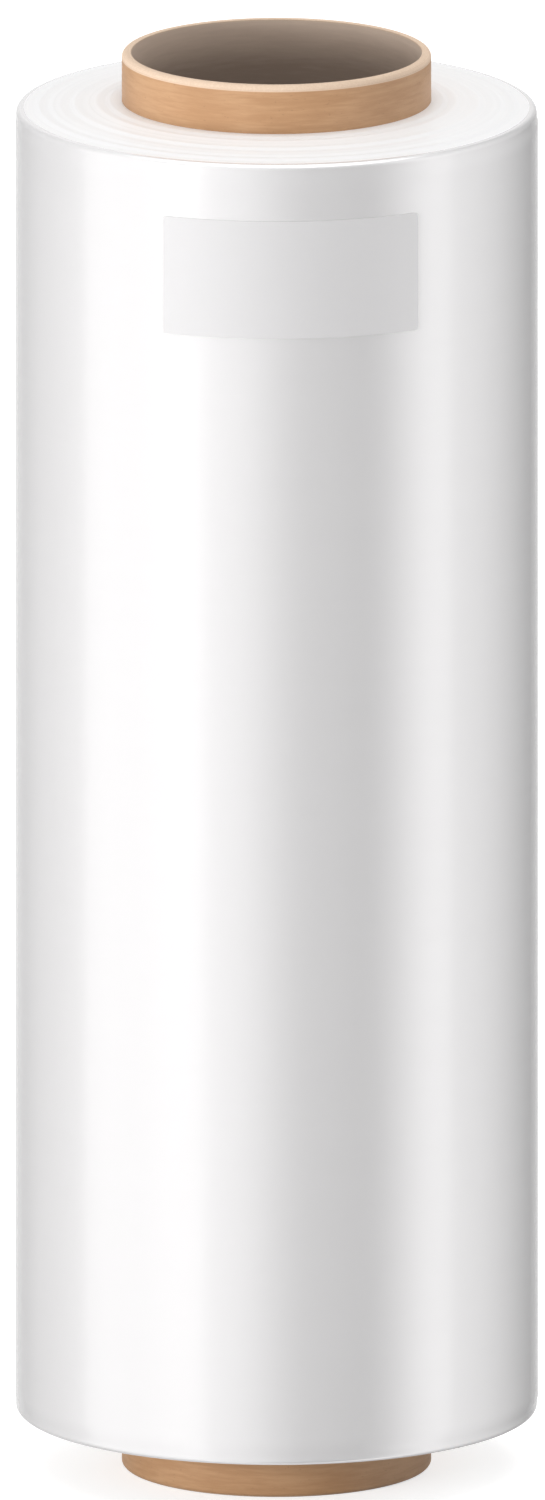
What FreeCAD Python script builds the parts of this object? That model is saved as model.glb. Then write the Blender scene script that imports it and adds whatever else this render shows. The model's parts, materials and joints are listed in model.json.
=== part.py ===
"""Stretch wrap roll: clear film wound on a paper core that stands out past the film at both ends.

Lengths are millimetres and angles are degrees. The roll stands on the lower end of its core.
The origin is the centre of that end, +Z runs up the core's axis, and the blank label faces -Y.
"""

import FreeCAD
import Part

import math
import os

# Paper core: one tube, with the sharp edges of its cut ends rounded over
CORE_BORE_D = 76.2  # a three inch mandrel
CORE_WALL = 2.5
CORE_OVERHANG = 15.0  # from the film's shoulder to the end of the core
CORE_LIP_OUTER_R = 1.4
CORE_LIP_INNER_R = 0.4

# Wound film: all its turns are one solid
FILM_WIDTH = 350.0  # between the shoulders, where the outer edge rounds over
FILM_D = 137.5  # across the outermost turn
SHOULDER_R = 1.5  # rounding of the roll's outer edge at both ends
END_CROWN = 2.2  # how far the innermost turns stand out past the shoulders
END_BANDS = 14  # bands of turns that can be told apart in each end
BAND_WANDER = 0.16  # how far a band of turns lies in or out of line
BAND_WANDER_TURN = 137.5  # angle step that makes the wander look irregular

# Outermost turn: it ends in a tail edge, and the stretch has drawn it in at both ends
TAIL_ANGLE = 135.0  # where the tail edge lies, counter-clockwise from +X seen from above
TAIL_STEP = 0.3  # height of the tail edge: the film and the air under its last turn
LAST_TURN_LIFT = 0.1  # height of the last turn over the turns below, where it starts
LAST_TURN_NECK = 3.0  # how far the last turn stops short of each shoulder

# Blank label on the outermost turn
LABEL_WIDTH = 70.0  # along the film
LABEL_HEIGHT = 31.5
LABEL_T = 0.2
LABEL_GLUE = 0.05  # glue line between the label and the film
LABEL_CORNER_R = 1.0
LABEL_TOP_GAP = 15.0  # from the upper shoulder
LABEL_ANGLE = -86.5  # middle of the label, counter-clockwise from +X seen from above

CORE_R = CORE_BORE_D / 2 + CORE_WALL
CORE_LENGTH = FILM_WIDTH + 2 * CORE_OVERHANG
SHOULDER_LOW = CORE_OVERHANG
SHOULDER_HIGH = CORE_OVERHANG + FILM_WIDTH
TAIL_START_R = FILM_D / 2 - TAIL_STEP
BODY_R = TAIL_START_R - LAST_TURN_LIFT

TINY = 1e-4  # a length under this counts as nothing
PAST = 1.0  # how far a cutting or trimming body runs past what it cuts

AXIS = FreeCAD.Vector(0, 0, 1)
ORIGIN = FreeCAD.Vector(0, 0, 0)


def radial(angle):
    """Unit vector in the floor plane at an angle."""
    turn = math.radians(angle)
    return FreeCAD.Vector(math.cos(turn), math.sin(turn), 0)


def profile_point(r, z):
    """Point of a turned profile, in the XZ plane."""
    return FreeCAD.Vector(r, 0, z)


def turned(edges, angle=360):
    """Solid turned about the core's axis from a closed profile."""
    return Part.Face(Part.Wire(edges)).revolve(ORIGIN, AXIS, angle)


def tube(inner_r, outer_r, low, high):
    """Plain tube about the core's axis."""
    height = high - low
    outer = Part.makeCylinder(outer_r, height, profile_point(0, low))
    return outer.cut(Part.makeCylinder(inner_r, height, profile_point(0, low)))


def core():
    """Paper tube with a rounded lip inside and outside each cut end."""
    body = tube(CORE_BORE_D / 2, CORE_R, 0, CORE_LENGTH)
    for radius, lip in ((CORE_R, CORE_LIP_OUTER_R), (CORE_BORE_D / 2, CORE_LIP_INNER_R)):
        rims = [edge for edge in body.Edges if is_circle(edge, radius)]
        body = body.makeFillet(lip, rims)
    return body


def is_circle(edge, radius):
    """True for a full circle of that radius about the core's axis."""
    on_size = isinstance(edge.Curve, Part.Circle) and abs(edge.Curve.Radius - radius) < TINY
    return on_size and edge.isClosed()


def band_height(band):
    """How far a band of turns, counted from the core, stands out past the shoulder."""
    crown = END_CROWN * (1 - (band + 0.5) / END_BANDS)
    return crown + BAND_WANDER * math.sin(math.radians(BAND_WANDER_TURN * band))


def end_steps():
    """Radius and height over the shoulder of the corners of one end, from the core outwards."""
    pitch = (BODY_R - SHOULDER_R - CORE_R) / END_BANDS
    corners = [(CORE_R, band_height(0))]
    for band in range(END_BANDS):
        edge_r = CORE_R + (band + 1) * pitch
        height = band_height(band)
        next_height = band_height(band + 1) if band + 1 < END_BANDS else 0
        corners.append((edge_r, height))
        if abs(next_height - height) > TINY:
            corners.append((edge_r, next_height))
    return corners


def shoulder_arc(shoulder, outward):
    """Quarter arc that rounds the roll's outer edge, from the end face to the side."""
    centre = profile_point(BODY_R - SHOULDER_R, shoulder - outward * SHOULDER_R)
    middle = SHOULDER_R * math.sqrt(0.5)
    return Part.Arc(
        centre + profile_point(0, outward * SHOULDER_R),
        centre + profile_point(middle, outward * middle),
        centre + profile_point(SHOULDER_R, 0),
    ).toShape()


def wound_body():
    """All the turns but the last, with stepped ends and rounded shoulders."""
    top = [profile_point(r, SHOULDER_HIGH + height) for r, height in end_steps()]
    bottom = [profile_point(r, SHOULDER_LOW - height) for r, height in end_steps()]
    outline = Part.makePolygon(list(reversed(bottom)) + top).Edges
    side = Part.LineSegment(
        profile_point(BODY_R, SHOULDER_HIGH - SHOULDER_R),
        profile_point(BODY_R, SHOULDER_LOW + SHOULDER_R),
    ).toShape()
    outline += [shoulder_arc(SHOULDER_HIGH, 1), side, shoulder_arc(SHOULDER_LOW, -1)]
    return turned(Part.sortEdges(outline)[0])


def turn_prism(grow, low, high):
    """Upright prism over one turn of the spiral, drawn as tangent arcs and closed at the tail.

    Each quarter arc is a quarter of the tail step larger than the last, about a centre that
    moves by as much, so that the arcs meet without a corner. grow widens every arc.
    """
    shift = TAIL_STEP / 4
    start, across = radial(TAIL_ANGLE), radial(TAIL_ANGLE + 90)
    centre = (across - start) * (shift / 2)
    radius = TAIL_START_R + grow
    edges = []
    for angle in (TAIL_ANGLE + quarter for quarter in (0, 90, 180, 270)):
        corners = [centre + radial(angle + turn) * radius for turn in (0, 45, 90)]
        edges.append(Part.Arc(*corners).toShape())
        centre = centre - radial(angle + 90) * shift
        radius += shift
    edges.append(Part.LineSegment(corners[-1], edges[0].valueAt(edges[0].FirstParameter)).toShape())
    base = Part.Face(Part.Wire(edges))
    base.translate(AXIS * low)
    return base.extrude(AXIS * (high - low))


def film_roll():
    """The wound film: its body, and the last turn with the tail edge, as one solid."""
    low, high = SHOULDER_LOW + LAST_TURN_NECK, SHOULDER_HIGH - LAST_TURN_NECK
    last_turn = turn_prism(0, low, high)
    bore = Part.makeCylinder(CORE_R, high - low, profile_point(0, low))
    return wound_body().fuse(last_turn.cut(bore)).removeSplitter()


def label_blank():
    """Thick curved plate with the label's outline and rounded corners."""
    high = SHOULDER_HIGH - LABEL_TOP_GAP
    low = high - LABEL_HEIGHT
    inner_r, outer_r = BODY_R - PAST, FILM_D / 2 + LABEL_GLUE + LABEL_T + PAST
    corners = [(inner_r, low), (outer_r, low), (outer_r, high), (inner_r, high), (inner_r, low)]
    sweep = math.degrees(LABEL_WIDTH / (FILM_D / 2))
    blank = turned(Part.makePolygon([profile_point(r, z) for r, z in corners]).Edges, sweep)
    blank.rotate(ORIGIN, AXIS, LABEL_ANGLE - sweep / 2)
    return blank.makeFillet(LABEL_CORNER_R, [edge for edge in blank.Edges if is_radial(edge)])


def is_radial(edge):
    """True for a straight level edge, which on the label's blank points away from the axis."""
    return isinstance(edge.Curve, Part.Line) and abs(edge.Curve.Direction.z) < TINY


def label():
    """Blank label that lies on the outermost turn and follows its curve."""
    outside = turn_prism(LABEL_GLUE + LABEL_T, SHOULDER_LOW, SHOULDER_HIGH)
    inside = turn_prism(LABEL_GLUE, SHOULDER_LOW - PAST, SHOULDER_HIGH + PAST)
    return outside.cut(inside).common(label_blank())


def export(name, shape):
    """Checks a piece and writes it as one STEP file."""
    if shape.ShapeType == "Compound" and len(shape.Solids) == 1:
        shape = shape.Solids[0]
    if not shape.isValid() or len(shape.Solids) != 1:
        raise ValueError(f"{name} is not one valid solid")
    shape.exportStep(os.path.join("parts", f"{name}.step"))
    print(f"{name}: {shape.Volume:.1f} mm3, {len(shape.Faces)} faces")


os.makedirs("parts", exist_ok=True)
for node, make in (("core", core), ("film_roll", film_roll), ("label", label)):
    export(node, make())
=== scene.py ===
"""Stretch wrap roll: its looks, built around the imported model.

Lengths are metres and angles are degrees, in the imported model's frame: the roll stands on the
floor at the origin with its axis up, and the photograph looks at it along +Y from above.
"""

import json
import math

import bpy
import numpy as np
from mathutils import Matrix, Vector


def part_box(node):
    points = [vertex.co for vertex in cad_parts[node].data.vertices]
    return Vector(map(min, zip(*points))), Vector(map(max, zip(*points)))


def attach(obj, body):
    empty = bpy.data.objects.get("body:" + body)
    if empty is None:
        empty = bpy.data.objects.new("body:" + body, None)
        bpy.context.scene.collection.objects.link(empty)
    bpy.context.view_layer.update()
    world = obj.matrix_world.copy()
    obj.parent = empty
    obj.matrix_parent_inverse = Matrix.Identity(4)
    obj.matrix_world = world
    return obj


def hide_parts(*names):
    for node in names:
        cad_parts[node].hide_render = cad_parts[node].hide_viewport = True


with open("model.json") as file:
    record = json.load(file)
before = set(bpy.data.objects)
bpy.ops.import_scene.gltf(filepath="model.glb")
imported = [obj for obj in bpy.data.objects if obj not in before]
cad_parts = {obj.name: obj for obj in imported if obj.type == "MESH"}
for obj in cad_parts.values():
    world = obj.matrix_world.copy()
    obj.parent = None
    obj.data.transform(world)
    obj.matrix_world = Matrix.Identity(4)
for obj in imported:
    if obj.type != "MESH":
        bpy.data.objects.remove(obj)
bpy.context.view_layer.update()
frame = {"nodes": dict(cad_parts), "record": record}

MM = 0.001

# What the photograph shows of the roll, in pixels of its own frame
PHOTO_W, PHOTO_H = 545, 1500
PHOTO_FILM_W = 524.0
PHOTO_AXIS_X = 276.5
PHOTO_BASE_Y = 1497.0
VIEW_ELEVATION = 13.0
CAMERA_DISTANCE = 2.0

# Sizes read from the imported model
CORE_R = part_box("core")[1].x
CORE_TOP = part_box("core")[1].z
BORE_R = next(m for m in frame["record"]["mounts"] if m["name"] == "core_bore")["dims"]["r_mm"] * MM
FILM_R = max(math.hypot(v.co.x, v.co.y) for v in frame["nodes"]["film_roll"].data.vertices)

# Shape of the wound film, as in the solid
SHOULDER_R = 1.5 * MM
END_CROWN = 2.2 * MM  # how far the innermost turns stand out past the shoulder
END_BANDS = 14
BAND_WANDER = 0.16 * MM  # how far a band of turns lies in or out of line
BAND_WANDER_TURN = 137.5  # angle step that makes the wander look irregular
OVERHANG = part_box("film_roll")[0].z + END_CROWN * (1 - 0.5 / END_BANDS)
TAIL_ANGLE = 135.0  # where the tail edge lies, counter-clockwise from +X seen from above
TAIL_STEP = 0.3 * MM  # height of the tail edge
LAST_TURN_LIFT = 0.1 * MM  # height of the last turn over the turns below, where it starts
LAST_TURN_NECK = 3.0 * MM  # how far the last turn stops short of each shoulder
BODY_R = FILM_R - TAIL_STEP - LAST_TURN_LIFT

# Detail of the wound film that the solid leaves out
FILM_COLUMNS = 360
FILM_SIDE_ROWS = 130
SHOULDER_ROWS = 8
BAND_EDGE = 0.5 * MM  # half the width of the slope from one band of turns to the next
NECK_EDGE = 0.7 * MM  # width of the slope at the edges of the last turn
NECK_WAVE = 0.22 * MM  # how far those edges stray from a straight line
NECK_REACH = 12.0 * MM  # how far into the side the film follows them
TAIL_EDGE_TURN = 0.12  # angle over which the film drops at its tail
TAIL_WAVE = 0.5  # angle by which the tail edge strays from a straight line
TAIL_PULL = 25.0  # angle from the tail edge over which the film is pulled with it
GAUGE_WAVE = 0.02 * MM  # thick and thin bands along the width of the film
WRINKLE = 0.15 * MM  # height of the wrinkles before the tail edge
WRINKLE_TURN = 50.0  # angle before the tail edge in which the film is wrinkled
WRINKLES_AROUND = 40.0  # waves of the first sine in one turn
WRINKLE_LEAN = 60.0  # radians by which those waves shift in one metre of height
RELIEF_FADE = 6.0 * MM  # from the edges of the last turn to where its relief is full
CREASE_TURN = 60.0  # angle before the tail edge in which the film is creased
CREASE_LEAN = (0.25, 0.2, 0.0)  # about each axis, in radians
CREASE_WIDTH = 0.03  # how far the noise may be from its middle value inside a crease

# Smooth wanders, each a sum of sines: seed, number of sines, and how many radians the first
# goes through for each radian or metre of what it follows
NECK_SINES = (3, 5, 2.0)
TAIL_SINES = (5, 6, 55.0)
GAUGE_SINES = (9, 8, 130.0)
WRINKLE_SINES = (2, 4, 1.0)
WRINKLE_HEIGHT_SINES = (7, 6, 210.0)
SINE_SPACING = 0.73  # from one sine's frequency to the next, as a share of the first's
SINE_FADE = 0.4  # how fast the sines grow weaker
SEED_PHASE = 1.7
SINE_PHASE = 2.4

# Paper core
CORE_COLUMN = 2.0
CORE_ROW = 2.0 * MM
LIP_OUTER_R = 1.4 * MM
LIP_INNER_R = 0.4 * MM
LIP_ROWS = 6
PLIES = 6
PLY = (CORE_R - BORE_R) / PLIES
GROOVE_DEPTH = 0.04 * MM  # between the plies in the cut ends
GROOVE_HALF = PLY / 6  # half the width of a groove
GROOVE_ROOM = PLY / 4  # least distance from a groove's middle to the lips
SEAM_LEAD = 160.0 * MM  # how far the winding of the paper climbs in one turn
SEAM_DEPTH = 0.15 * MM
SEAM_WIDTH = 0.5 * MM  # from its middle to its edge
SEAM_COLUMNS = 7
SEAM_REACH = 1.2  # how far from a seam's middle its columns go, in seam widths
OUTER_SEAM_ANGLE = 60.0  # where the seam crosses the floor's level
BORE_SEAM_ANGLE = 200.0
SHARP_ANGLE = 32.0  # faces that meet at more than this keep a sharp edge

# Soft square lamps that add no reflections of their own: azimuth and watts. Azimuths are
# measured from the camera's side, positive to the camera's right.
LAMPS = {"key": (-44.0, 15.0), "fill": (158.0, 8.0)}
LAMP_ELEVATION = 3.0
LAMP_DISTANCE = 1.6
LAMP_SIZE = 0.45

# Studio around the roll. Overhead is given by the height of a direction of length 1.
ROOM_LEVEL = 0.24
OVERHEAD_START, OVERHEAD_FULL = 0.45, 0.85
ZENITH_START, ZENITH_FULL = 0.80, 0.93
TOP_LEVEL = 0.60
ZENITH_LEVEL = 2.4
# Upright soft panels around the roll: first and last azimuth, width of the soft edge before the
# first and after the last, level. Those that run past 180 join at the back.
PANELS = (
    (-91.0, -35.0, 6.0, 6.0, 0.19),
    (-130.0, -61.0, 30.0, 40.0, 0.12),
    (-79.0, -61.0, 40.0, 40.0, 0.22),
    (-26.0, -24.0, 40.0, 40.0, 0.46),
    (78.0, 83.0, 40.0, 1.5, 0.16),
    (78.0, 82.0, 42.0, 78.0, 0.80),
    (-200.0, -176.0, 1.0, 36.0, 0.58),
    (178.0, 200.0, 32.0, 1.0, 0.52),
)
FLOOR_SIZE = 24.0
FLOOR_GREY = (0.60, 0.60, 0.60, 1)
FLOOR_GLOW = 0.66  # added for the camera alone, so that the lit floor reads as white
WHITE = (1, 1, 1, 1)

# Colours of the roll, linear
FILM_WHITE = (0.905, 0.893, 0.898, 1)
FILM_GREY = (0.89, 0.878, 0.883, 1)
FILM_END_WHITE = (0.915, 0.915, 0.92, 1)
FILM_END_GREY = (0.885, 0.885, 0.892, 1)
LABEL_WHITE = (0.805, 0.795, 0.80, 1)
KRAFT_PALE = (0.555, 0.327, 0.175, 1)
KRAFT_DARK = (0.47, 0.26, 0.128, 1)
FLECK_BROWN = (0.28, 0.15, 0.07, 1)
CUT_PALE = (0.77, 0.60, 0.46, 1)
CUT_DARK = (0.60, 0.42, 0.29, 1)
# Bore colours are a lit and a shaded copy of one board for painted shade deeper in the bore; clouds
# also tint towards the shaded one
BORE_PAINTED_LIT = (0.77, 0.62, 0.505, 1)
BORE_PAINTED_SHADE_AND_CLOUD = (0.33, 0.255, 0.205, 1)
PAINTED_RIM_HIGHLIGHT = 0.35 * MM  # how far the pale colour of the upper cut runs on below the lip, a painted highlight that the lower lip lacks
BORE_SHADE_FADE = 14.0 * MM  # from the cut end to where the painted shade in the bore is at its darkest

# Depth of each surface's fine relief
FILM_MARK_DEPTH = 0.01 * MM
CREASE_DEPTH = 0.10 * MM
RING_DEPTH = 0.02 * MM
LABEL_GRAIN_DEPTH = 0.004 * MM
KRAFT_DEPTH = 0.02 * MM
BORE_DEPTH = 0.03 * MM
CUT_DEPTH = 0.05 * MM

# How strongly each pattern tints its surface, 0 to 1
BAND_TINT = 0.5
RING_HAZE = 0.35  # how far the clouds hide the rings in the film's ends
FLECK_TINT = 0.3
STREAK_TINT = 0.35
CLOUD_TINT = 0.2
GLUE_TINT = 0.45
CUT_EVENNESS = 0.65  # how far the cut's fuzz is paled over

# How each pattern is stretched: a larger number makes it finer along that axis
CREASE_STRETCH = (1, 1, 0.12)
FILM_STREAK_STRETCH = (1, 1, 14)
FLECK_STRETCH = (1, 1, 2)
FIBRE_STRETCH = (1, 9, 1)  # around the tube, along it, out from its axis
FIBRE_TURN = 0.25  # length of one turn in the fibres' noise, about the tube's own

# Shader settings that are the same all over a surface
FILM_SIDE_SHADER = {"Metallic": 0.42, "IOR": 1.5, "Coat Weight": 0.35, "Coat Roughness": 0.12}
FILM_END_SHADER = {"IOR": 1.5, "Roughness": 0.42}
LABEL_SHADER = {"Metallic": 0.33, "IOR": 1.5, "Base Color": LABEL_WHITE}
KRAFT_SHADER = {"IOR": 1.5, "Specular IOR Level": 0.6}
BORE_SHADER = {"IOR": 1.45, "Roughness": 0.9}
CUT_SHADER = {"IOR": 1.45, "Roughness": 0.85}

# Roughness where it follows the grain: least and most
FILM_ROUGHNESS = (0.15, 0.20)
LABEL_ROUGHNESS = (0.38, 0.48)
KRAFT_ROUGHNESS = (0.42, 0.5)

NOISE_MIDDLE = 0.5  # of the 0 to 1 that a noise gives

# From where to where in a pattern's values its effect grows from none to full
NOISE_SPAN = (0.3, 0.7)  # what a noise mostly fills
KRAFT_SPAN = (0.35, 0.65)
FUZZ_SPAN = (0.35, 0.7)
CLOUD_SPAN = (0.35, 0.75)
FLECK_SPAN = (0.70, 0.76)
GLUE_SPAN = (0.36, 0.48)  # from the middle of a ply, as a share of the ply


def smooth_step(x):
    """0 to 1 with level ends, as x goes from 0 to 1."""
    x = np.clip(x, 0, 1)
    return x * x * (3 - 2 * x)


def waves(x, seed, count, base):
    """Sum of sines with chosen phases: a smooth, repeatable wander of about -1 to 1."""
    total = np.zeros_like(x)
    for n in range(count):
        phase = seed * SEED_PHASE + SINE_PHASE * n * n
        total += np.sin(x * base * (1 + SINE_SPACING * n) + phase) / (1 + SINE_FADE * n)
    return total / math.sqrt(count)


def ring(r, angle, z):
    """Row of points around the axis: angle is an array in radians, r and z may be numbers."""
    heights = np.broadcast_to(z, angle.shape)
    return np.stack([r * np.cos(angle), r * np.sin(angle), heights], axis=-1)


def ring_mesh(name, points, numbers, materials):
    """Closed mesh from a grid of points, rows by columns, that joins up in both directions.

    numbers gives, for each row, which of the materials the faces after it have.
    """
    rows, columns = points.shape[:2]
    index = np.arange(rows * columns).reshape(rows, columns)
    next_row = np.roll(index, -1, axis=0)
    faces = np.stack(
        [index, np.roll(index, -1, axis=1), np.roll(next_row, -1, axis=1), next_row], axis=-1
    )
    mesh = bpy.data.meshes.new(name)
    mesh.from_pydata(points.reshape(-1, 3).tolist(), [], faces.reshape(-1, 4).tolist())
    mesh.polygons.foreach_set("material_index", np.repeat(numbers, columns))
    mesh.shade_smooth()
    mesh.set_sharp_from_angle(angle=math.radians(SHARP_ANGLE))
    mesh.validate()
    for material in materials:
        mesh.materials.append(material)
    piece = bpy.data.objects.new(name, mesh)
    bpy.context.scene.collection.objects.link(piece)
    return piece


def arc(centre_r, centre_z, radius, start, end, steps):
    """Points (r, z) of an arc in a turned profile, both ends included."""
    turns = np.radians(np.linspace(start, end, steps + 1))
    return [(centre_r + radius * math.cos(t), centre_z + radius * math.sin(t)) for t in turns]


class Graph:
    """Adds nodes to a node tree. Where a method takes a value, it takes a socket as well."""

    def __init__(self, tree):
        self.tree = tree
        tree.nodes.clear()

    def add(self, kind, inputs=None, **settings):
        """One node, with its inputs given by name or number."""
        node = self.tree.nodes.new(kind)
        for name, value in settings.items():
            setattr(node, name, value)
        for name, value in (inputs or {}).items():
            socket = node.inputs[name]
            if isinstance(value, bpy.types.NodeSocket):
                self.tree.links.new(value, socket)
            else:
                socket.default_value = value
        return node

    def calc(self, operation, a, b=0.0):
        """Result of a sum on one or two numbers."""
        return self.add("ShaderNodeMath", {0: a, 1: b}, operation=operation).outputs[0]

    def blend(self, a, b, share=0.5):
        """Number between a and b, with the given share of b."""
        rest = self.calc("MULTIPLY", a, 1 - share)
        return self.calc("ADD", rest, self.calc("MULTIPLY", b, share))

    def span(self, value, low, high, to_low=0.0, to_high=1.0, shape="SMOOTHSTEP"):
        """A number moved from one span to another, held at its ends."""
        ends = {"From Min": low, "From Max": high, "To Min": to_low, "To Max": to_high}
        node = self.add("ShaderNodeMapRange", {"Value": value, **ends}, interpolation_type=shape)
        return node.outputs["Result"]

    def mix(self, share, a, b):
        """Colour between a and b, whose sockets go by number because their names are not unique."""
        return self.add("ShaderNodeMix", {0: share, 6: a, 7: b}, data_type="RGBA").outputs[2]

    def place(self, stretch=(1, 1, 1), lean=(0, 0, 0)):
        """Place on the object in metres, stretched along the axes and then leaned about them."""
        coordinates = self.add("ShaderNodeTexCoord").outputs["Object"]
        inputs = {"Vector": coordinates, "Rotation": lean, "Scale": stretch}
        return self.add("ShaderNodeMapping", inputs).outputs[0]

    def parts(self, vector):
        """The three numbers of a vector."""
        return self.add("ShaderNodeSeparateXYZ", {0: vector}).outputs

    def radius(self):
        """Distance from the roll's axis."""
        x, y, _ = self.parts(self.place())
        squares = self.calc("ADD", self.calc("MULTIPLY", x, x), self.calc("MULTIPLY", y, y))
        return self.calc("SQRT", squares)

    def turn(self):
        """Angle about the roll's axis, as a share of one turn from -0.5 to 0.5."""
        x, y, _ = self.parts(self.place())
        return self.calc("DIVIDE", self.calc("ARCTAN2", y, x), 2 * math.pi)

    def height(self):
        """Height over the floor."""
        return self.parts(self.place())[2]

    def off(self, value, middle):
        """Distance of a number from a middle."""
        return self.calc("ABSOLUTE", self.calc("SUBTRACT", value, middle))

    def noise(self, vector, scale, detail, roughness=0.5):
        """Noise of 0 to 1."""
        inputs = {"Vector": vector, "Scale": scale, "Detail": detail, "Roughness": roughness}
        return self.add("ShaderNodeTexNoise", inputs).outputs[0]

    def line_noise(self, value, scale, detail):
        """Noise of 0 to 1 that changes with one number alone."""
        inputs = {"W": value, "Scale": scale, "Detail": detail}
        return self.add("ShaderNodeTexNoise", inputs, noise_dimensions="1D").outputs[0]

    def bump(self, height, depth, normal=None):
        """Normal bent by a height of 0 to 1 that stands for a depth in metres."""
        inputs = {"Height": height, "Distance": depth, "Strength": 1.0}
        if normal is not None:
            inputs["Normal"] = normal
        return self.add("ShaderNodeBump", inputs).outputs[0]

    def surface(self, settings, **inputs):
        """Surface shader, joined to the output. Input names have _ in place of spaces."""
        inputs = {name.replace("_", " "): value for name, value in inputs.items()}
        shader = self.add("ShaderNodeBsdfPrincipled", {**settings, **inputs})
        self.add("ShaderNodeOutputMaterial", {"Surface": shader.outputs[0]})


def new_material(name):
    """Material with an empty node tree."""
    material = bpy.data.materials.new(name)
    material.use_nodes = True
    return material, Graph(material.node_tree)


def film_creases(graph):
    """Leaning ridges in the last turn, of 0 to 1, that grow towards its tail edge."""
    from_tail = graph.calc("SUBTRACT", graph.calc("MULTIPLY", graph.turn(), 360.0), TAIL_ANGLE)
    near_tail = graph.span(from_tail, -CREASE_TURN, 0.0)
    before_tail = graph.calc("LESS_THAN", from_tail, 0.0)
    folds = graph.noise(graph.place(CREASE_STRETCH, CREASE_LEAN), scale=70.0, detail=2.0)
    ridges = graph.span(graph.off(folds, NOISE_MIDDLE), CREASE_WIDTH, 0.0)
    return graph.calc("MULTIPLY", graph.calc("MULTIPLY", ridges, near_tail), before_tail)


def film_side_material():
    """Many turns of clear film: milky white with a pearly gloss, fine marks and a few creases."""
    material, graph = new_material("film_side")
    bands = graph.line_noise(graph.height(), scale=160.0, detail=4.0)
    streaks = graph.noise(graph.place(FILM_STREAK_STRETCH), scale=30.0, detail=4.0)
    marks = graph.bump(graph.blend(bands, streaks, share=0.4), FILM_MARK_DEPTH)
    graph.surface(
        FILM_SIDE_SHADER,
        Base_Color=graph.mix(graph.calc("MULTIPLY", bands, BAND_TINT), FILM_WHITE, FILM_GREY),
        Roughness=graph.span(streaks, *NOISE_SPAN, *FILM_ROUGHNESS),
        Normal=graph.bump(film_creases(graph), CREASE_DEPTH, marks),
    )
    return material


def film_end_material():
    """Edges of the turns: white and satin, in fine rings."""
    material, graph = new_material("film_end")
    rings = graph.line_noise(graph.radius(), scale=900.0, detail=5.0)
    wide_rings = graph.line_noise(graph.radius(), scale=180.0, detail=2.0)
    tone = graph.span(graph.blend(rings, wide_rings), *NOISE_SPAN)
    cloud = graph.noise(graph.place(), scale=22.0, detail=3.0)
    haze = graph.span(cloud, *CLOUD_SPAN, 0.0, RING_HAZE)
    body = graph.mix(tone, FILM_END_GREY, FILM_END_WHITE)
    graph.surface(
        FILM_END_SHADER,
        Base_Color=graph.mix(haze, body, FILM_END_WHITE),
        Normal=graph.bump(rings, RING_DEPTH),
    )
    return material


def label_material():
    """Blank frosted label: satin, a little greyer than the film."""
    material, graph = new_material("label_frosted")
    grain = graph.noise(graph.place(), scale=1500.0, detail=2.0)
    graph.surface(
        LABEL_SHADER,
        Roughness=graph.span(grain, *NOISE_SPAN, *LABEL_ROUGHNESS),
        Normal=graph.bump(grain, LABEL_GRAIN_DEPTH),
    )
    return material


def paper_fibres(graph):
    """Streaks along the fibres, fine grain and clouds of kraft paper, each 0 to 1.

    The fibres run around the tube, so their noise is laid out as on the unrolled paper.
    """
    around = graph.calc("MULTIPLY", graph.turn(), FIBRE_TURN)
    unrolled = {0: around, 1: graph.height(), 2: graph.radius()}
    vector = graph.add("ShaderNodeCombineXYZ", unrolled).outputs[0]
    stretched = graph.add("ShaderNodeMapping", {"Vector": vector, "Scale": FIBRE_STRETCH})
    streaks = graph.noise(stretched.outputs[0], scale=110.0, detail=5.0, roughness=0.6)
    grain = graph.noise(graph.place(), scale=2200.0, detail=3.0, roughness=0.6)
    cloud = graph.noise(graph.place(), scale=45.0, detail=2.0)
    return streaks, grain, cloud


def kraft_material():
    """Outside of the tube: smooth brown kraft paper with a slight shine, a few dark flecks and a
    painted highlight below its upper lip.
    """
    material, graph = new_material("core_kraft")
    streaks, grain, cloud = paper_fibres(graph)
    tone = graph.span(graph.blend(streaks, cloud, share=0.4), *KRAFT_SPAN)
    body = graph.mix(tone, KRAFT_DARK, KRAFT_PALE)
    specks = graph.noise(graph.place(FLECK_STRETCH), scale=900.0, detail=1.0)
    body = graph.mix(graph.span(specks, *FLECK_SPAN, 0.0, FLECK_TINT), body, FLECK_BROWN)
    # painted highlight: the upper cut's pale colour runs on below the lip onto the kraft
    rim = CORE_TOP - LIP_OUTER_R
    rim_highlight = graph.span(graph.height(), rim - PAINTED_RIM_HIGHLIGHT, rim)
    graph.surface(
        KRAFT_SHADER,
        Base_Color=graph.mix(rim_highlight, body, CUT_PALE),
        Roughness=graph.span(grain, *NOISE_SPAN, *KRAFT_ROUGHNESS),
        Normal=graph.bump(graph.blend(streaks, grain), KRAFT_DEPTH),
    )
    return material


def bore_material():
    """Inside of the tube: rough grey-brown board, with painted shade that darkens it away from its
    cut ends.
    """
    material, graph = new_material("core_bore")
    streaks, grain, cloud = paper_fibres(graph)
    # painted shade: the bore darkens away from its cut ends, deeper inside the tube
    from_middle = graph.off(graph.height(), CORE_TOP / 2)
    painted_lit_ends = graph.span(from_middle, CORE_TOP / 2 - BORE_SHADE_FADE, CORE_TOP / 2)
    streaked = graph.calc("MULTIPLY", graph.calc("SUBTRACT", streaks, NOISE_MIDDLE), STREAK_TINT)
    tone = graph.span(graph.calc("ADD", painted_lit_ends, streaked), 0.0, 1.0, shape="LINEAR")
    body = graph.mix(tone, BORE_PAINTED_SHADE_AND_CLOUD, BORE_PAINTED_LIT)
    graph.surface(
        BORE_SHADER,
        Base_Color=graph.mix(graph.calc("MULTIPLY", cloud, CLOUD_TINT), body, BORE_PAINTED_SHADE_AND_CLOUD),
        Normal=graph.bump(graph.blend(streaks, grain), BORE_DEPTH),
    )
    return material


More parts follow.
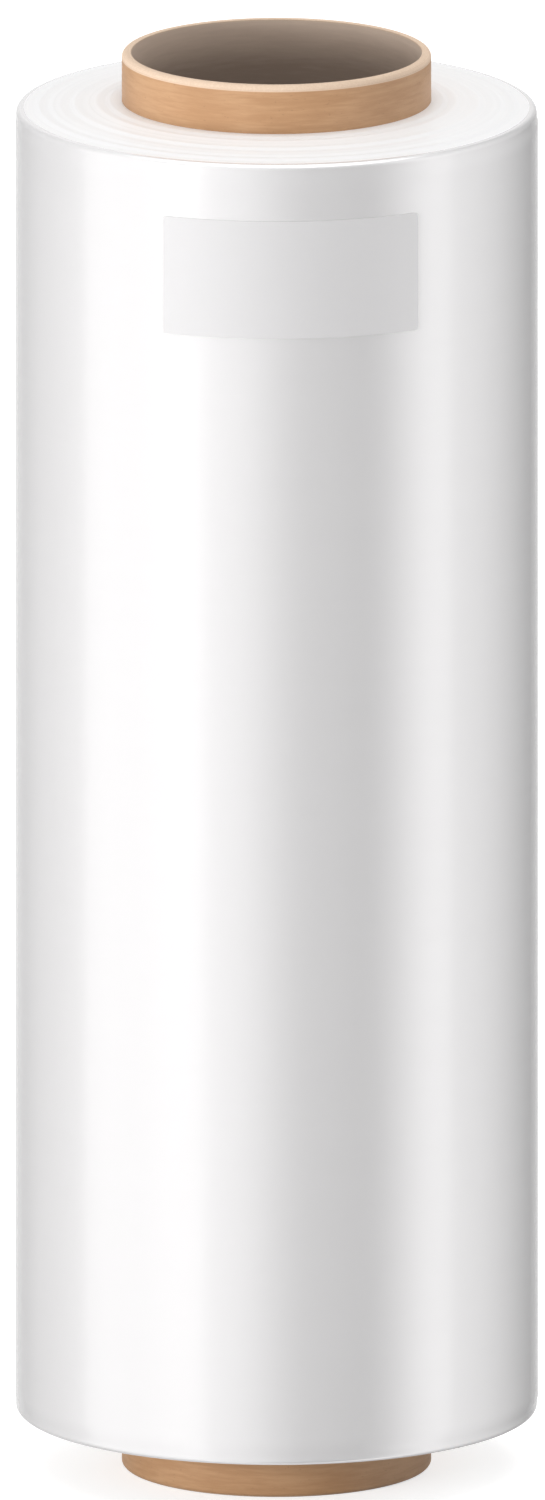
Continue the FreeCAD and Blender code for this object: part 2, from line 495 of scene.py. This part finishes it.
def cut_material():
    """Cut end of the tube: pale plies with darker glue lines between them."""
    material, graph = new_material("core_cut")
    into_wall = graph.calc("SUBTRACT", graph.radius(), BORE_R)
    into_ply = graph.calc("FRACT", graph.calc("DIVIDE", into_wall, PLY))
    glue = graph.span(graph.off(into_ply, 0.5), *GLUE_SPAN, 0.0, GLUE_TINT)
    fuzz = graph.noise(graph.place(), scale=1800.0, detail=4.0, roughness=0.65)
    body = graph.mix(graph.span(fuzz, *FUZZ_SPAN, CUT_EVENNESS, 1.0), CUT_DARK, CUT_PALE)
    graph.surface(
        CUT_SHADER,
        Base_Color=graph.mix(glue, body, CUT_DARK),
        Normal=graph.bump(fuzz, CUT_DEPTH),
    )
    return material


def end_profile():
    """Points (r, height over the shoulder) of one end face, from the core outwards."""
    pitch = (BODY_R - SHOULDER_R - CORE_R) / END_BANDS
    points = []
    for band in range(END_BANDS):
        crown = END_CROWN * (1 - (band + 0.5) / END_BANDS)
        height = crown + BAND_WANDER * math.sin(math.radians(BAND_WANDER_TURN * band))
        start, end = CORE_R + band * pitch, CORE_R + (band + 1) * pitch
        corners = (start + BAND_EDGE, (start + end) / 2, end - BAND_EDGE)
        points += [(r, height) for r in corners]
    points[0] = (CORE_R, points[0][1])
    return points


def film_piece():
    """The wound film with its spiral last turn, tail edge, shoulders and stepped ends."""
    low, high = OVERHANG, CORE_TOP - OVERHANG
    neck_low, neck_high = low + LAST_TURN_NECK, high - LAST_TURN_NECK
    end = end_profile()
    top = [(r, high + height) for r, height in end]
    top += arc(BODY_R - SHOULDER_R, high - SHOULDER_R, SHOULDER_R, 90, 0, SHOULDER_ROWS)
    bottom = arc(BODY_R - SHOULDER_R, low + SHOULDER_R, SHOULDER_R, 0, -90, SHOULDER_ROWS)
    bottom += [(r, low - height) for r, height in reversed(end)]

    turn = np.append(np.linspace(0, 360, FILM_COLUMNS, endpoint=False), 360 - TAIL_EDGE_TURN)
    angle = np.radians(turn + TAIL_ANGLE)
    near_tail = smooth_step(1 - np.minimum(turn, 360 - turn) / TAIL_PULL)
    before_tail = smooth_step(1 - (360 - turn) / WRINKLE_TURN)
    spiral = FILM_R - TAIL_STEP * (1 - turn / 360)
    high_wander = NECK_WAVE * waves(angle, *NECK_SINES)
    low_wander = high_wander[::-1]

    def last_turn_ring(z):
        """One row of the last turn, with its gauge bands, wrinkles and wander."""
        stray = math.radians(TAIL_WAVE * waves(z, *TAIL_SINES)) * near_tail
        gauge = GAUGE_WAVE * waves(z, *GAUGE_SINES)
        ripple = waves(angle * WRINKLES_AROUND + WRINKLE_LEAN * z, *WRINKLE_SINES)
        wrinkles = WRINKLE * before_tail * ripple * waves(z, *WRINKLE_HEIGHT_SINES)
        inside = smooth_step(np.minimum(neck_high - z, z - neck_low) / RELIEF_FADE)
        shift = high_wander * np.clip(1 - (neck_high - z) / NECK_REACH, 0, 1)
        shift += low_wander * np.clip(1 - (z - neck_low) / NECK_REACH, 0, 1)
        return ring(spiral + (gauge + wrinkles) * inside, angle + stray, z + shift)

    side_z = np.linspace(neck_high - NECK_EDGE, neck_low + NECK_EDGE, FILM_SIDE_ROWS)
    rows = [ring(r, angle, z) for r, z in top]
    rows.append(ring(BODY_R, angle, neck_high + high_wander))
    rows += [last_turn_ring(z) for z in side_z]
    rows.append(ring(BODY_R, angle, neck_low + low_wander))
    rows += [ring(r, angle, z) for r, z in bottom]

    side, ends = 0, 1
    numbers = np.full(len(rows), ends)
    first = len(top) - SHOULDER_ROWS - 1  # row where the upper shoulder starts
    numbers[first:len(rows) - first - 1] = side
    materials = [film_side_material(), film_end_material()]
    return ring_mesh("wound_film", np.array(rows)[::-1], numbers[::-1], materials)


def core_profile(outside, bore, cut):
    """Points (r, z, material number) around the tube's wall, from the lowest row outside."""
    profile = []

    def add(points, number):
        profile.extend((r, z, number) for r, z in points)

    heights = np.arange(LIP_OUTER_R + CORE_ROW, CORE_TOP - LIP_OUTER_R - CORE_ROW / 2, CORE_ROW)
    lip = arc(CORE_R - LIP_OUTER_R, CORE_TOP - LIP_OUTER_R, LIP_OUTER_R, 0, 90, LIP_ROWS)
    inner_lip = arc(BORE_R + LIP_INNER_R, CORE_TOP - LIP_INNER_R, LIP_INNER_R, 90, 180, LIP_ROWS)
    groove_z = CORE_TOP - GROOVE_DEPTH
    grooves = []
    for number in range(PLIES - 1, 0, -1):
        r = BORE_R + number * PLY
        if BORE_R + LIP_INNER_R + GROOVE_ROOM < r < CORE_R - LIP_OUTER_R - GROOVE_ROOM:
            grooves += [(r + GROOVE_HALF, CORE_TOP), (r, groove_z), (r - GROOVE_HALF, CORE_TOP)]
    lower_end = [(r, CORE_TOP - z) for r, z in reversed(lip + grooves + inner_lip)]
    kraft_rows = LIP_ROWS // 2 + 1  # upper half of the lower lip, which is still brown; the upper lip takes the cut's pale colour all over, partly as a painted highlight

    add([(CORE_R, z) for z in heights], outside)
    add(lip + grooves + inner_lip[:-1], cut)
    add([inner_lip[-1]] + [(BORE_R, z) for z in heights[::-1]], bore)
    add(lower_end[:-kraft_rows], cut)
    add(lower_end[-kraft_rows:], outside)
    return profile


def core_piece():
    """Spirally wound paper tube with plies in its cut ends and a seam outside and in the bore."""
    outside, bore, cut = 0, 1, 2
    over_seam = np.degrees(np.linspace(-SEAM_REACH, SEAM_REACH, SEAM_COLUMNS) * SEAM_WIDTH / CORE_R)
    seams = (OUTER_SEAM_ANGLE + over_seam, BORE_SEAM_ANGLE + over_seam)
    columns = np.unique(np.concatenate([np.arange(0, 360, CORE_COLUMN), *seams]))
    seam_of = {
        outside: (OUTER_SEAM_ANGLE, -SEAM_DEPTH),
        bore: (BORE_SEAM_ANGLE, SEAM_DEPTH),
        cut: (0, 0),
    }
    profile = core_profile(outside, bore, cut)
    rows = []
    for r, z, number in profile:
        seam_at, depth = seam_of[number]
        away = np.radians(np.abs(columns - seam_at)) * r
        radius = r + depth * smooth_step(1 - away / SEAM_WIDTH)
        rows.append(ring(radius, np.radians(columns + 360 * z / SEAM_LEAD), z))
    numbers = np.array([number for _, _, number in profile])
    materials = [kraft_material(), bore_material(), cut_material()]
    return ring_mesh("paper_core", np.array(rows), numbers, materials)


def add_floor():
    """Wide pale floor, white to the camera where it is lit. It keeps the roll's shadow."""
    bpy.ops.mesh.primitive_plane_add(size=FLOOR_SIZE, location=(0, 0, 0))
    floor = bpy.context.object
    floor.name = "floor"
    material, graph = new_material("floor_pale")
    camera_ray = graph.add("ShaderNodeLightPath").outputs["Is Camera Ray"]
    strength = graph.calc("MULTIPLY", camera_ray, FLOOR_GLOW)
    diffuse = graph.add("ShaderNodeBsdfDiffuse", {"Color": FLOOR_GREY})
    glow = graph.add("ShaderNodeEmission", {"Color": WHITE, "Strength": strength})
    both = graph.add("ShaderNodeAddShader", {0: diffuse.outputs[0], 1: glow.outputs[0]})
    graph.add("ShaderNodeOutputMaterial", {"Surface": both.outputs[0]})
    floor.data.materials.append(material)
    floor.visible_glossy = False


def add_world():
    """Studio around the roll: white to the camera, soft panels and a bright top to other rays."""
    world = bpy.data.worlds.new("studio")
    bpy.context.scene.world = world
    world.use_nodes = True
    graph = Graph(world.node_tree)
    right, back, height = graph.parts(graph.add("ShaderNodeTexCoord").outputs["Generated"])
    azimuth = graph.calc("ARCTAN2", right, graph.calc("MULTIPLY", back, -1.0))
    sides = ROOM_LEVEL
    for first, last, soft_before, soft_after, level in PANELS:
        rise = graph.span(azimuth, math.radians(first - soft_before), math.radians(first))
        fall = graph.span(azimuth, math.radians(last + soft_after), math.radians(last), 0.0, level)
        sides = graph.calc("ADD", sides, graph.calc("MULTIPLY", rise, fall))
    overhead = graph.span(height, OVERHEAD_START, OVERHEAD_FULL)
    above = graph.span(height, ZENITH_START, ZENITH_FULL, TOP_LEVEL, ZENITH_LEVEL)
    upper = graph.calc("MULTIPLY", overhead, above)
    lower = graph.calc("MULTIPLY", graph.calc("SUBTRACT", 1.0, overhead), sides)
    studio = graph.calc("ADD", upper, lower)
    camera_ray = graph.add("ShaderNodeLightPath").outputs["Is Camera Ray"]
    unseen = graph.calc("MULTIPLY", graph.calc("SUBTRACT", 1.0, camera_ray), studio)
    strength = graph.calc("ADD", camera_ray, unseen)
    background = graph.add("ShaderNodeBackground", {"Color": WHITE, "Strength": strength})
    graph.add("ShaderNodeOutputWorld", {"Surface": background.outputs[0]})


def add_lamp(name, azimuth, power):
    """Soft square lamp that faces the middle of the roll and stays out of its reflections."""
    data = bpy.data.lights.new(name, "AREA")
    data.size = LAMP_SIZE
    data.energy = power
    lamp = bpy.data.objects.new(name, data)
    around, up = math.radians(azimuth - 90), math.radians(LAMP_ELEVATION)
    out = Vector((math.cos(around) * math.cos(up), math.sin(around) * math.cos(up), math.sin(up)))
    lamp.location = Vector((0, 0, CORE_TOP / 2)) + out * LAMP_DISTANCE
    lamp.rotation_euler = out.to_track_quat("Z", "Y").to_euler()
    lamp.visible_glossy = False
    bpy.context.scene.collection.objects.link(lamp)


def add_camera():
    """Level-sided view from a little above, framed as the photograph is."""
    pixel = 2 * FILM_R / PHOTO_FILM_W
    tilt = math.radians(VIEW_ELEVATION)
    base = -(CORE_R - LIP_OUTER_R) * math.sin(tilt) - LIP_OUTER_R * (1 - math.cos(tilt))
    centre_x = (PHOTO_W / 2 - PHOTO_AXIS_X) * pixel
    centre_up = base + (PHOTO_BASE_Y - PHOTO_H / 2) * pixel
    centre = Vector((centre_x, centre_up * math.sin(tilt), centre_up * math.cos(tilt)))
    back = Vector((0, -math.cos(tilt), math.sin(tilt)))
    data = bpy.data.cameras.new("camera")
    data.type = "ORTHO"
    data.ortho_scale = PHOTO_H * pixel
    camera = bpy.data.objects.new("camera", data)
    camera.location = centre + back * CAMERA_DISTANCE
    camera.rotation_euler = (math.radians(90 - VIEW_ELEVATION), 0, 0)
    bpy.context.scene.collection.objects.link(camera)
    bpy.context.scene.camera = camera


film = film_piece()
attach(film, "root")
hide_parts("film_roll")

core = core_piece()
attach(core, "root")
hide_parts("core")

label = frame["nodes"]["label"]
label.data.materials.clear()
label.data.materials.append(label_material())

add_floor()
add_world()
for lamp_name, (azimuth, power) in LAMPS.items():
    add_lamp(lamp_name, azimuth, power)
add_camera()
bpy.context.scene.view_settings.view_transform = "Standard"
